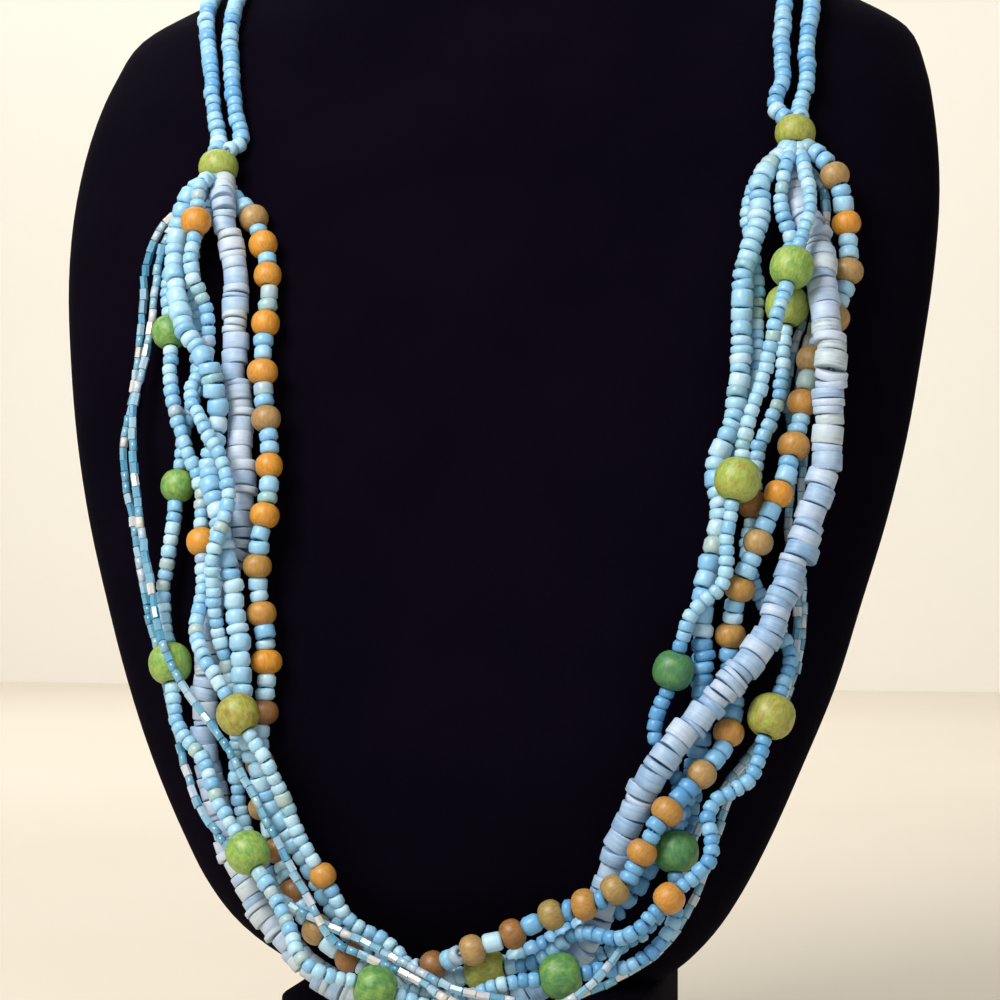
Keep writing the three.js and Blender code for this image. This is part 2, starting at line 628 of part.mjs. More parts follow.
// Lets the strands down onto the chest and each other, the highest rank last, until none of them touch
function settle(chains) {
  for (const { nodes } of chains) {
    for (const node of nodes) {
      if (node.pinned) continue;
      node.point.y = drapedAt(node.point.x, node.point.z) - ROUTE_LIFT;
      node.home = node.point.clone();
      node.line = wayToView(node.point);
      node.point.addScaledVector(node.line, node.rank * START_LIFT - ROUTE_LIFT);
    }
  }
  const touches = chains.flatMap(touchPoints);
  let pairs = [];
  for (let round = 0; round < LOWERING_ROUNDS + PARTING_ROUNDS; round++) {
    const lowering = round < LOWERING_ROUNDS;
    if (round % LISTING_ROUNDS === 0) {
      pairs = nearPairs(touches);
      for (const touch of touches) {
        const { x, z } = touch.point;
        touch.floor = drapedAt(x, z) - (touch.radius + REST) * slantAt(x, z);
      }
    }
    for (const { nodes } of round < HOMING_ROUNDS ? chains : []) {
      for (const [i, node] of nodes.entries()) {
        if (node.pinned) continue;
        const [before, after] = [nodes[i - 1].point, nodes[i + 1].point];
        const back = STIFFNESS * ((before.y + after.y) / 2 - node.point.y);
        node.point.addScaledVector(node.line, (lowering ? -LOWERING_STEP : 0) - back);
        const inLine = node.home.clone().addScaledVector(node.line, node.home.y - node.point.y);
        node.point.lerp(inLine, HOMING);
      }
    }
    keepBeads(chains);
    if (round === LOWERING_ROUNDS - THREAD_ROUNDS) {
      spreadThreads(chains, "left", -1);
      spreadThreads(chains, "right", -1);
    }
    const worst = Math.max(partStrands(pairs, SIDEWAYS), liftFromChest(touches));
    if (round > HOMING_ROUNDS && worst < REST / 10) break;
  }
}

// The strands behind the neck: drawn onto the bust's surface, clear of it and of each other

function neckChain(name) {
  const places = NECK_ROUTES[name].map(([drawnAcross, depth, drawnHeight]) => {
    const [across, height] = onBust([drawnAcross, drawnHeight]);
    return new THREE.Vector3(across, depth, height);
  });
  const curve = new THREE.CatmullRomCurve3(places, false, "centripetal");
  const middle = curve.getSpacedPoints(Math.round(curve.getLength() / NECK_STEP));
  const points = [...threadEnds("left", 1, 0), ...middle, ...threadEnds("right", 1, 0).reverse()];
  const last = points.length - 1;
  const nodes = points.map((point, i) => ({ point, length: i, pinned: i < 2 || i > last - 2 }));
  const thread = THREAD_DIAMETER / 2;
  const radiusAt = (place) => {
    const out = Math.max(2 - place, place - (last - 2), 0);
    return THREE.MathUtils.lerp(NECK_SEED_DIAMETER / 2, thread, Math.min(out, 1));
  };
  return { name, nodes, radiusAt, diameter: NECK_SEED_DIAMETER };
}

function settleOnNeck(chains) {
  spreadThreads(chains, "left", 1);
  spreadThreads(chains, "right", 1);
  for (const { nodes } of chains) {
    for (const { point, pinned } of nodes) {
      for (let k = 0; k < NECK_DRAWS && !pinned; k++) {
        const { distance, way } = awayFromBust(point);
        point.addScaledVector(way, (NECK_SEED_DIAMETER / 2 + REST - distance) * NECK_EASE);
      }
    }
  }
  const touches = chains.flatMap(touchPoints);
  for (let round = 0; round < NECK_ROUNDS; round++) {
    partStrands(nearPairs(touches), 1);
    for (const touch of touches) {
      placeTouch(touch);
      const { distance, way } = awayFromBust(touch.point);
      moveTouch(touch, way, Math.max(touch.radius + REST - distance, 0));
    }
  }
}

// Pieces

const necklace = new THREE.Group();

function addMesh(name, geometry, look) {
  const mesh = new THREE.Mesh(geometry, new THREE.MeshStandardMaterial(COLOURS[look]));
  mesh.name = name;
  necklace.add(mesh);
  return mesh;
}

function addBust() {
  const profile = TORSO_SECTIONS.map((row) => [1, TORSO_FOOT_LINE + row.height * TORSO_HEIGHT]);
  const [foot, top] = [profile[0][1], profile[profile.length - 1][1]];
  const geometry = turned([[0, foot], ...profile, [0, top]], BUST_SIDES);
  const position = geometry.getAttribute("position");
  for (let i = 0; i < position.count; i++) {
    const [x, height, z] = [position.getX(i), position.getY(i), position.getZ(i)];
    const onAxis = Math.hypot(x, z) < MERGE;
    const { middle } = sectionAt(height);
    const [across, depth] = onAxis ? [0, middle] : sectionPoint(height, Math.atan2(-z, x));
    position.setXYZ(i, across, depth, height);
  }
  addMesh("neck_bust", closed(geometry), "velvet");
}

function addFoot() {
  const [w, d, r] = [FOOT_WIDTH / 2, FOOT_DEPTH / 2, FOOT_CORNER];
  const outline = new THREE.Shape();
  outline.moveTo(r - w, -d);
  outline.lineTo(w - r, -d);
  outline.absarc(w - r, r - d, r, -Math.PI / 2, 0);
  outline.lineTo(w, d - r);
  outline.absarc(w - r, d - r, r, 0, Math.PI / 2);
  outline.lineTo(r - w, d);
  outline.absarc(r - w, d - r, r, Math.PI / 2, Math.PI);
  outline.lineTo(-w, r - d);
  outline.absarc(r - w, r - d, r, Math.PI, 1.5 * Math.PI);
  const geometry = new THREE.ExtrudeGeometry(outline, {
    depth: FOOT_HEIGHT,
    bevelEnabled: false,
    curveSegments: CORNER_STEPS,
  });
  addMesh("bust_foot", closed(geometry), "velvet");
}

function addGatherBead(side) {
  const { centre, up } = GATHER[side];
  const geometry = barrelGeometry(GATHER_DIAMETER, GATHER_LENGTH, GATHER_BORE);
  const mesh = addMesh(`gathering_bead_${side}`, geometry, "green_wood");
  mesh.position.copy(centre);
  mesh.quaternion.setFromUnitVectors(new THREE.Vector3(0, 1, 0), up);
}

function spineOf(chain) {
  return chain.nodes.map((node) => node.point);
}

// A string of seed or cut beads, as one smooth rod of their diameter with a thread at each end
function addRod(chain, look) {
  const last = chain.nodes.length - 1;
  const rings = chain.nodes.map((node, i) => ({
    place: i,
    radius: (i < 2 || i > last - 2 ? THREAD_DIAMETER : chain.diameter) / 2,
  }));
  addMesh(chain.name, bentSolid(spineOf(chain), rings, STRING_SIDES), look);
}

function addThreadedBeads(chain) {
  chain.threaded.forEach((bead, i) => {
    const [a, b] = [chain.nodes[bead.first].point, chain.nodes[bead.first + 1].point];
    const bore = (chain.diameter + 2 * GAP) / Math.cos(Math.PI / ROUND_SIDES);
    const geometry = barrelGeometry(bead.diameter, bead.length, bore);
    const name = `${bead.kind}_bead_${chain.name.split("_")[0]}_${i + 1}`;
    const mesh = addMesh(name, geometry, bead.kind === "green" ? "green_wood" : "amber_wood");
    mesh.position.copy(a).lerp(b, 0.5);
    mesh.quaternion.setFromUnitVectors(new THREE.Vector3(0, 1, 0), b.clone().sub(a).normalize());
  });
}

// Place, counted in nodes, of a length along a chain
function placeOf(chain, length) {
  const { nodes } = chain;
  let above = 1;
  while (above < nodes.length - 1 && nodes[above].length < length) above++;
  const [a, b] = [nodes[above - 1], nodes[above]];
  return above - 1 + THREE.MathUtils.clamp((length - a.length) / (b.length - a.length), 0, 1);
}

function threadRings(chain, end) {
  const last = chain.nodes.length - 1;
  const places = end < 0 ? [0, 1] : [last - 1, last];
  return places.map((place) => ({ place, radius: THREAD_DIAMETER / 2 }));
}

// Flat discs in a row, each a little wider or narrower than the next
function addDiscs(chain) {
  const count = Math.round(chain.total / DISC_THICKNESS);
  const pitch = chain.total / count;
  const rings = threadRings(chain, -1);
  for (let i = 0; i < count; i++) {
    const radius = (DISC_DIAMETER + DISC_VARIATION * Math.sin(i * DISC_TURN)) / 2;
    rings.push({ place: placeOf(chain, i * pitch + DISC_GROOVE / 2), radius });
    rings.push({ place: placeOf(chain, (i + 1) * pitch - DISC_GROOVE / 2), radius });
  }
  rings.push(...threadRings(chain, 1));
  addMesh(chain.name, bentSolid(spineOf(chain), rings, ROUND_SIDES), "grey_blue_disc");
}

// Wooden beads with seed beads between them
function addWoodString(chain) {
  const spacer = WOOD_SPACER_DIAMETER / 2;
  const rings = [...threadRings(chain, -1), { place: placeOf(chain, 0), radius: spacer }];
  for (const bead of chain.beads) {
    for (const share of WOOD_RINGS) {
      const radius = Math.max(barrelRadius(bead.diameter, bead.length, share * bead.length), spacer);
      rings.push({ place: placeOf(chain, bead.middle + share * bead.length), radius });
    }
  }
  rings.push({ place: placeOf(chain, chain.total), radius: spacer }, ...threadRings(chain, 1));
  addMesh(chain.name, bentSolid(spineOf(chain), rings, ROUND_SIDES), "amber_wood");
}

const chains = Object.keys(STRANDS).map(makeChain);
settle(chains);
const neckChains = Object.keys(NECK_ROUTES).map(neckChain);
settleOnNeck(neckChains);

addBust();
addFoot();
addGatherBead("left");
addGatherBead("right");
for (const chain of chains) {
  if (chain.name === "disc_string") addDiscs(chain);
  else if (chain.name === "wood_string") addWoodString(chain);
  else {
    addRod(chain, chain.name.startsWith("cut_bead") ? "aqua_cut_glass" : "pale_blue_glass");
    addThreadedBeads(chain);
  }
}
for (const chain of neckChains) addRod(chain, "pale_blue_glass");

export default necklace;
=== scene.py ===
# A beaded necklace of eight strands on a velvet-covered neck bust, in metres, +Z up, facing -Y.
import math
from collections import namedtuple

import bmesh
import bpy
import numpy as np
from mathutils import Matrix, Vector


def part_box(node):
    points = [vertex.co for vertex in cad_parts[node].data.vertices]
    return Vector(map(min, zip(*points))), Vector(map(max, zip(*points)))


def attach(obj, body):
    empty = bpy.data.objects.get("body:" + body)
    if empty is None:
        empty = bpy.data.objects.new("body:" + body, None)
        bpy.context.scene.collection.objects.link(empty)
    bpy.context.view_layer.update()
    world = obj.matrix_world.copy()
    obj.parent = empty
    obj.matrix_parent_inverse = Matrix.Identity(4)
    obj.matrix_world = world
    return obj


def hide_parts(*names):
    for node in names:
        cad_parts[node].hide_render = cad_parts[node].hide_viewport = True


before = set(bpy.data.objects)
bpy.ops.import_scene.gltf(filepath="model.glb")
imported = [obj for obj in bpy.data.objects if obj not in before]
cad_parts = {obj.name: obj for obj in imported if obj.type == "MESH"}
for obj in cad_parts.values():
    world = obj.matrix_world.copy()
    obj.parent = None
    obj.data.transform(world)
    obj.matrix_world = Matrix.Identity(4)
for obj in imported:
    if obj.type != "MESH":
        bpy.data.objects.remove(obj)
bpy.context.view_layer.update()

MM = 0.001
# Seeded, so that every run draws the same beads
random_draw = np.random.default_rng(11)

# Camera, about level with the middle of the necklace and a little to the right of it
VIEW_ANGLE = math.radians(10)
VIEW_DISTANCE = 0.7
VIEW_ACROSS = 0.003
VIEW_HEIGHT = 0.1378
LENS = 114.5
SENSOR = 36

# Seed beads: diameter and range of lengths in millimetres, and the share of them that is squarer
Seeds = namedtuple("Seeds", "diameter lengths square_share")
SMALL_SEEDS = Seeds(diameter=3.3, lengths=(2.0, 2.7), square_share=0.15)
LARGE_SEEDS = Seeds(diameter=4.6, lengths=(1.8, 3.9), square_share=0.35)
NECK_SEEDS = Seeds(diameter=3.9, lengths=(2.0, 3.1), square_share=0.3)
SPACER_SEEDS = Seeds(diameter=4.3, lengths=(2.1, 3.4), square_share=0.35)

# Other beads and the thread, in millimetres: the discs are wider at the right end of their string
CUT_DIAMETER = 1.8
CUT_LENGTHS = (2.1, 3.0)
DISC_DIAMETERS = (5.4, 6.5)
DISC_LENGTHS = (1.1, 4.0)
DISC_GAPS = (0.02, 0.12)
THREAD_DIAMETER = 0.6
WOOD_DIAMETER = 6.4
WOOD_BORE = 1.7
ROUND_BORE = 2.2
GATHER_BORE = 4.4

# Room left at each mouth of a gathering bead, and between a wooden bead and the end of its solid
MOUTH_GAP = 0.3 * MM
WOOD_INSET = 0.22 * MM

# A stretch stays bare where it is shorter than this share of the shortest bead
BARE_STRETCH = 0.6

# How unevenly beads are made and hang. Width is the spread of their widths as a share, offset that of
# their distances from the thread in millimetres, and lean that of their slopes to it
Unevenness = namedtuple("Unevenness", "width offset lean")
UNEVEN_SEEDS = Unevenness(width=0.045, offset=0.1, lean=0.08)
UNEVEN_CUTS = Unevenness(width=0.03, offset=0.08, lean=0.05)
UNEVEN_DISCS = Unevenness(width=0.05, offset=0.28, lean=0.07)
UNEVEN_WOOD = Unevenness(width=0.03, offset=0.05, lean=0.08)
OVAL_SPREAD = 0.02
ROUND_OVAL_SPREAD = 0.012

# Shares of the beads: discs with the wider gap, flat-sided cut beads, seed beads of odd tints, and cut
# beads painted white or cream as glints
WIDE_GAP_SHARE = 0.25
FLAT_CUT_SHARE = 0.65
ODD_SEED_SHARE = 0.14
PAINTED_GLINT_CUT_SHARE = 0.22

# The wall of a barrel bead is a curve between a circle and a square, cut off where its ends are flat. Its
# bore opens towards the ends, with heights as shares of its length
BARREL_REACH = 0.54
BARREL_SQUARENESS = 2.3
BORE_HEIGHT = 0.4
LIP_HEIGHT = 0.485
LIP_SHARE = 0.25

# A shape's outer wall lies within this share of its length and outside this share of its diameter
WALL_REACH = 0.2
WALL_RADIUS = 0.4

# Steps of the smooth surfaces
PATH_FINENESS = 12
CUT_SIDES = 6
SEED_SIDES = 12
DISC_SIDES = 18
ROUND_SIDES = 28
ROUND_RINGS = 11
THREAD_SIDES = 6
THREAD_STEP = 2 * MM

# Bust and foot
BUST_FINENESS = 4
RING_OVERLAP = 3
RIM_ROUND = 2.5 * MM
RIM_STEPS = 4
TOP_RINGS = (0.2, 0.5, 0.8)
FOOT_CORNER = 10 * MM
FOOT_CORNER_STEPS = 8
FOOT_EDGE = 1.2 * MM
FOOT_EDGE_STEPS = 3

# A direction that no string follows
OFF_EVERY_STRING = (0.3, 0.9, 0.2)

# Rings of the wooden string's solid: those before its first bead, and those of each bead
RINGS_BEFORE_WOOD = 3
RINGS_A_BEAD = 4

# The wooden beads from the left end of their string to the right one
WOOD_TINTS = {"tan": 0.12, "olive": 0.3, "amber": 0.52, "orange": 0.72, "brown": 0.92}
WOOD_TINT_SPREAD = (-0.08, 0.02)
WOOD_ORDER = (
    "tan orange orange orange orange tan orange orange amber amber orange brown brown tan brown brown "
    "tan brown brown brown tan brown olive amber olive amber amber tan amber brown amber amber tan orange "
    "amber amber tan tan tan orange tan"
).split()

# Tints of the large beads along each string, and of the two that gather the strings: in the green dye
# from bluish green at -0.35 to olive brown at 0.5, in the amber one from tan at 0.1 to brown at 0.9
BEAD_TINTS = {
    "gathering_bead_left": 0.2,
    "gathering_bead_right": 0.24,
    "green_bead_green": (-0.06, 0.02, 0.02, -0.15, -0.2, -0.28, -0.32, 0.2, 0.04),
    "green_bead_mixed": (-0.1, 0, 0.32, 0, 0.25, 0, 0.28, 0, 0.16),
    "orange_bead_mixed": (0, 0.72, 0, 0.58, 0, 0.6, 0, 0.86, 0),
    "orange_bead_third": (0.74,),
}

# Ranges of tints, as places on the colours of each material
# The deeper ranges, used at the lower right for seed beads and discs, are painted shade
SEED_TINTS = {"pale": (0.18, 0.6), "odd": (0.6, 0.86), "neck": (0.0, 0.44), "painted_shade": (-0.2, 0.3)}
DISC_TINTS = {"pale": (0.03, 0.45), "painted_shade": (-0.14, 0.2)}
# Cut beads drawn from the upper range are painted white or cream as glints
CUT_TINTS = {"aqua": (0, 0.6), "painted_glint": (0.6, 0.86)}
THREAD_TINT = 0.5

# Painted shade: deeper tints at the lower right, where the beads hang in half shadow, past one distance to
# the right and below a height for each kind of bead. Deeper blue seed beads are also strung along the neck,
# above the gathering beads
PAINTED_SHADE_FROM = 15 * MM
PAINTED_SHADE_SEEDS_BELOW = 110 * MM
PAINTED_SHADE_DISCS_BELOW = 140 * MM
NECK_ABOVE = 222 * MM

# A bead's place in its pattern is drawn within this many millimetres, so that no two beads look alike
PATTERN_REACH = 50

# Stage, in metres
ROOM_SIZE = 6
WALL_PLACE = (0, 1.62, 2.9)
LIT_MIDDLE = (0, 0, 0.16)
LIT_WALL = (-0.2, 1.62, 0.2)


# Materials. A bead's pattern is in millimetres, so its scale is one over a size


def linear(colour):
    """A colour written as sRGB hex, as linear red, green, blue and alpha."""
    channels = [int(colour[i : i + 2], 16) / 255 for i in (1, 3, 5)]
    return [c / 12.92 if c <= 0.04045 else ((c + 0.055) / 1.055) ** 2.4 for c in channels] + [1]


def add(tree, kind, sockets, stops=None, **settings):
    """Adds a node. sockets gives each input a value, or the output that it is linked to."""
    node = tree.nodes.new("ShaderNode" + kind)
    for name, value in settings.items():
        setattr(node, name, value)
    for name, value in sockets.items():
        if isinstance(value, bpy.types.NodeSocket):
            tree.links.new(value, node.inputs[name])
        else:
            node.inputs[name].default_value = value
    if stops:
        while len(node.color_ramp.elements) < len(stops):
            node.color_ramp.elements.new(0.5)
        for element, (place, colour) in zip(node.color_ramp.elements, stops):
            element.position = place
            element.color = linear(colour)
    return node


def new_material(name, **surface):
    """A material and its node tree, with constant values set on the shader itself."""
    material = bpy.data.materials.new(name)
    material.use_nodes = True
    tree = material.node_tree
    shader = tree.nodes["Principled BSDF"]
    for socket, value in surface.items():
        shader.inputs[socket.replace("_", " ")].default_value = value
    return material, tree, shader


def milky_seed_glass():
    """Pressed milky soda glass: each bead its own pale blue, softly glossy, letting a little blue light
    through, with faint streaks."""
    material, tree, shader = new_material(
        "milky_pale_blue_seed_glass",
        Roughness=0.36,
        IOR=1.52,
        Subsurface_Weight=0.3,
        Subsurface_Radius=(0.2, 0.7, 1.0),
        Subsurface_Scale=1.2 * MM,
    )
    tint = add(tree, "Attribute", {}, attribute_name="tint")
    place = add(tree, "Attribute", {}, attribute_name="place")
    # Streaks 1.11 mm apart, as the molten rod leaves them
    streak = add(tree, "TexNoise", {"Vector": place.outputs["Vector"], "Scale": 1 / 1.11, "Detail": 3.0})
    shifted = add(
        tree, "Math", {0: streak.outputs["Fac"], 1: 0.16, 2: tint.outputs["Fac"]}, operation="MULTIPLY_ADD"
    )
    colour = add(
        tree,
        "ValToRGB",
        {"Fac": shifted.outputs[0]},
        stops=[
            (0.02, "#5C9CCC"),
            (0.2, "#78B2DA"),
            (0.4, "#90C2E0"),
            (0.58, "#A6D0E6"),
            (0.72, "#BEDCEA"),
            (0.82, "#86B8C8"),
            (0.9, "#AEC2BA"),
            (0.97, "#92AEE2"),
        ],
    )
    tree.links.new(colour.outputs["Color"], shader.inputs["Base Color"])
    # Pits of the mould, 0.17 mm apart
    pits = add(tree, "TexNoise", {"Vector": place.outputs["Vector"], "Scale": 1 / 0.1667, "Detail": 2.0})
    bump = add(tree, "Bump", {"Height": pits.outputs["Fac"], "Strength": 0.12, "Distance": 0.1 * MM})
    tree.links.new(bump.outputs["Normal"], shader.inputs["Normal"])
    return material


def aqua_cut_glass_with_painted_glints():
    """Aqua glass, cut to six sides: glossy, with some beads painted white or cream as glints."""
    material, tree, shader = new_material(
        "aqua_cut_glass_painted_glints",
        Roughness=0.1,
        IOR=1.55,
        Transmission_Weight=0.15,
        Coat_Weight=0.6,
        Coat_Roughness=0.08,
    )
    tint = add(tree, "Attribute", {}, attribute_name="tint")
    place = add(tree, "Attribute", {}, attribute_name="place")
    # The tint drifts every 1.25 mm, through the aqua and through the painted glints
    cloud = add(tree, "TexNoise", {"Vector": place.outputs["Vector"], "Scale": 1 / 1.25, "Detail": 2.0})
    shifted = add(
        tree, "Math", {0: cloud.outputs["Fac"], 1: 0.3, 2: tint.outputs["Fac"]}, operation="MULTIPLY_ADD"
    )
    # The palest stops, whitish and cream, are painted glints
    colour = add(
        tree,
        "ValToRGB",
        {"Fac": shifted.outputs[0]},
        stops=[
            (0.12, "#4A93B8"),
            (0.3, "#66A8C8"),
            (0.5, "#84BAD4"),
            (0.68, "#A4CADE"),
            (0.84, "#C4D4E6"),
            (0.97, "#E4DFD4"),
        ],
    )
    tree.links.new(colour.outputs["Color"], shader.inputs["Base Color"])
    return material


def ground_shell():
    """Pale grey-blue shell, ground to discs: satin, with fine growth lines across the edge."""
    material, tree, shader = new_material("ground_grey_blue_shell", Roughness=0.5, IOR=1.55)
    tint = add(tree, "Attribute", {}, attribute_name="tint")
    place = add(tree, "Attribute", {}, attribute_name="place")
    # Growth lines 0.385 mm apart lie in the plane of a disc and run on for 8.3 mm, clouded every 2 mm
    spacing = (1 / 8.33, 1 / 8.33, 1 / 0.385)
    layers = add(tree, "Mapping", {"Vector": place.outputs["Vector"], "Scale": spacing})
    lines = add(tree, "TexNoise", {"Vector": layers.outputs["Vector"], "Scale": 1.0, "Detail": 4.0})
    cloud = add(tree, "TexNoise", {"Vector": place.outputs["Vector"], "Scale": 1 / 2.0, "Detail": 4.0})
    mottle = add(
        tree, "Math", {0: cloud.outputs["Fac"], 1: 0.3, 2: tint.outputs["Fac"]}, operation="MULTIPLY_ADD"
    )
    lined = add(
        tree, "Math", {0: lines.outputs["Fac"], 1: 0.45, 2: mottle.outputs[0]}, operation="MULTIPLY_ADD"
    )
    colour = add(
        tree,
        "ValToRGB",
        {"Fac": lined.outputs[0]},
        stops=[
            (0.16, "#6690BC"),
            (0.34, "#8CADCD"),
            (0.5, "#A8BFD8"),
            (0.64, "#BFCCDE"),
            (0.78, "#BCCACE"),
            (0.94, "#8493A4"),
        ],
    )
    tree.links.new(colour.outputs["Color"], shader.inputs["Base Color"])
    bump = add(tree, "Bump", {"Height": lines.outputs["Fac"], "Strength": 0.4, "Distance": 0.15 * MM})
    tree.links.new(bump.outputs["Normal"], shader.inputs["Normal"])
    return material


def dyed_wood(name, stops, grain_shade, speckle):
    """Turned wood, dyed and rubbed with wax: a satin gloss over uneven dye, the grain along the bore."""
    material, tree, shader = new_material(
        name, Roughness=0.46, IOR=1.5, Coat_Weight=0.12, Coat_Roughness=0.35
    )
    tint = add(tree, "Attribute", {}, attribute_name="tint")
    place = add(tree, "Attribute", {}, attribute_name="place")
    # The dye takes unevenly in patches of 1.54 mm, with finer specks within them
    patches = add(
        tree,
        "TexNoise",
        {"Vector": place.outputs["Vector"], "Scale": 1 / 1.54, "Detail": 6.0, "Roughness": 0.64},
    )
    shifted = add(
        tree,
        "Math",
        {0: patches.outputs["Fac"], 1: speckle, 2: tint.outputs["Fac"]},
        operation="MULTIPLY_ADD",
    )
    colour = add(tree, "ValToRGB", {"Fac": shifted.outputs[0]}, stops=stops)
    # Grain lines half a millimetre apart, drawn out to 1.67 mm along the bore
    spacing = (1 / 0.5, 1 / 0.5, 1 / 1.67)
    along = add(tree, "Mapping", {"Vector": place.outputs["Vector"], "Scale": spacing})
    grain = add(tree, "TexNoise", {"Vector": along.outputs["Vector"], "Scale": 1.0, "Detail": 5.0})
    dark = add(
        tree, "ValToRGB", {"Fac": grain.outputs["Fac"]}, stops=[(0.35, grain_shade), (0.6, "#FFFFFF")]
    )
    grained = add(
        tree,
        "Mix",
        {0: 0.5, 6: colour.outputs["Color"], 7: dark.outputs["Color"]},
        data_type="RGBA",
        blend_type="MULTIPLY",
    )
    tree.links.new(grained.outputs[2], shader.inputs["Base Color"])
    # Pores a quarter of a millimetre apart
    pores = add(tree, "TexNoise", {"Vector": place.outputs["Vector"], "Scale": 1 / 0.25, "Detail": 3.0})
    bump = add(tree, "Bump", {"Height": pores.outputs["Fac"], "Strength": 0.25, "Distance": 0.12 * MM})
    tree.links.new(bump.outputs["Normal"], shader.inputs["Normal"])
    return material


def cotton_velvet():
    """Cotton velvet glued over the bust: nearly black, the pile catching a faint violet light."""
    material, tree, shader = new_material(
        "black_cotton_velvet",
        Roughness=1.0,
        Specular_IOR_Level=0.03,
        Sheen_Weight=0.015,
        Sheen_Roughness=0.4,
        Sheen_Tint=linear("#6A5C88"),
    )
    place = add(tree, "TexCoord", {})
    # The pile leans this way and that in patches of 29 mm
    nap = add(
        tree, "TexNoise", {"Vector": place.outputs["Object"], "Scale": 1 / (28.6 * MM), "Detail": 4.0}
    )
    colour = add(
        tree, "ValToRGB", {"Fac": nap.outputs["Fac"]}, stops=[(0.3, "#06030C"), (0.7, "#09050F")]
    )
    tree.links.new(colour.outputs["Color"], shader.inputs["Base Color"])
    # Tufts of pile, drawn at 0.8 mm where the real ones are half that, so that they show
    tufts = add(
        tree, "TexNoise", {"Vector": place.outputs["Object"], "Scale": 1 / (0.8 * MM), "Detail": 2.0}
    )
    bump = add(tree, "Bump", {"Height": tufts.outputs["Fac"], "Strength": 0.5, "Distance": 0.3 * MM})
    tree.links.new(bump.outputs["Normal"], shader.inputs["Normal"])
    return material


def nylon_thread():
    """Nylon beading thread, pale blue and waxed: its filaments show as fine lines along it."""
    material, tree, shader = new_material("waxed_nylon_thread", Roughness=0.55, IOR=1.53)
    place = add(tree, "Attribute", {}, attribute_name="place")
    # Across the thread its pattern is in units of its radius, with a filament every fifth of one
    filaments = add(tree, "TexWave", {"Vector": place.outputs["Vector"], "Scale": 1.6, "Distortion": 0.5})
    colour = add(
        tree, "ValToRGB", {"Fac": filaments.outputs["Fac"]}, stops=[(0.0, "#6F9DB5"), (1.0, "#B9D3DE")]
    )
    tree.links.new(colour.outputs["Color"], shader.inputs["Base Color"])
    return material


SEED_GLASS = milky_seed_glass()
CUT_GLASS = aqua_cut_glass_with_painted_glints()
SHELL = ground_shell()
AMBER_WOOD = dyed_wood(
    "dyed_amber_wood",
    stops=[
        (0.1, "#A48454"),
        (0.28, "#B5945C"),
        (0.42, "#928146"),
        (0.62, "#BB8A42"),
        (0.82, "#DA962C"),
        (1.0, "#8C6234"),
    ],
    grain_shade="#CDB084",
    speckle=0.22,
)
GREEN_WOOD = dyed_wood(
    "dyed_green_wood",
    stops=[
        (0.05, "#3F7A55"),
        (0.22, "#558C4A"),
        (0.4, "#7CA850"),
        (0.58, "#A2B856"),
        (0.74, "#A8A348"),
        (0.92, "#94803A"),
    ],
    grain_shade="#A9B48C",
    speckle=0.9,
)
WOODS = {"amber_wood": AMBER_WOOD, "green_wood": GREEN_WOOD}
VELVET = cotton_velvet()
THREAD = nylon_thread()


# Shapes modelled once, in units of their own diameter and length, and the arrays that copy them


def turned(sides, profile):
    """A ring-shaped bead turned round Z from (radius, height) pairs round its wall, as arrays of its
    points, its faces, and the height and radius of each face's middle."""
    bpy.ops.object.select_all(action="DESELECT")
    bpy.ops.mesh.primitive_circle_add(vertices=sides, radius=profile[0][0], location=(0, 0, profile[0][1]))
    bead = bpy.context.object
    bpy.ops.object.transform_apply(location=True)
    bpy.ops.object.mode_set(mode="EDIT")
    bpy.ops.mesh.select_mode(type="EDGE")
    bpy.ops.mesh.select_all(action="SELECT")
    for (radius, height), (next_radius, next_height) in zip(profile, profile[1:]):
        bpy.ops.mesh.extrude_edges_move(TRANSFORM_OT_translate={"value": (0, 0, next_height - height)})
        widened = next_radius / radius
        bpy.ops.transform.resize(value=(widened, widened, 1))
    bpy.ops.mesh.select_all(action="DESELECT")
    bpy.ops.mesh.select_non_manifold()
    bpy.ops.mesh.bridge_edge_loops()
    bpy.ops.mesh.select_all(action="SELECT")
    bpy.ops.mesh.normals_make_consistent(inside=False)
    bpy.ops.object.mode_set(mode="OBJECT")
    points = np.array([v.co for v in bead.data.vertices])
    faces = np.array([list(p.vertices) for p in bead.data.polygons])
    middles = points[faces].mean(axis=1)
    bpy.data.objects.remove(bead)
    return {
        "points": points,
        "faces": faces,
        "heights": middles[:, 2],
        "radii": np.hypot(middles[:, 0], middles[:, 1]),
    }


def smooth(shape):
    """The shape with all its faces smooth."""
    return {**shape, "smooth": np.ones(len(shape["faces"]), bool)}


def smooth_walled(shape):
    """The shape with its outer wall smooth and its ends and bore flat."""
    wall = (np.abs(shape["heights"]) < WALL_REACH) & (shape["radii"] > WALL_RADIUS)
    return {**shape, "smooth": wall}


def faceted(shape):
    """The shape with all its faces flat."""
    return {**shape, "smooth": np.zeros(len(shape["faces"]), bool)}


ROUND_SEED = smooth(
    turned(
        SEED_SIDES,
        [(0.15, -0.42), (0.35, -0.5), (0.48, -0.26), (0.48, 0.26), (0.35, 0.5), (0.15, 0.42)],
    )
)
SQUARE_SEED = smooth(
    turned(
        SEED_SIDES,
        [(0.15, -0.45), (0.41, -0.5), (0.49, -0.35), (0.49, 0.35), (0.41, 0.5), (0.15, 0.45)],
    )
)
CUT_FORM = turned(CUT_SIDES, [(0.24, -0.5), (0.5, -0.47), (0.5, 0.47), (0.24, 0.5)])
CUT_BEAD = faceted(CUT_FORM)
TUMBLED_CUT_BEAD = smooth_walled(CUT_FORM)
DISC = smooth_walled(
    turned(
        DISC_SIDES,
        [(0.14, -0.5), (0.475, -0.5), (0.5, -0.42), (0.5, 0.42), (0.475, 0.5), (0.14, 0.5)],
    )
)


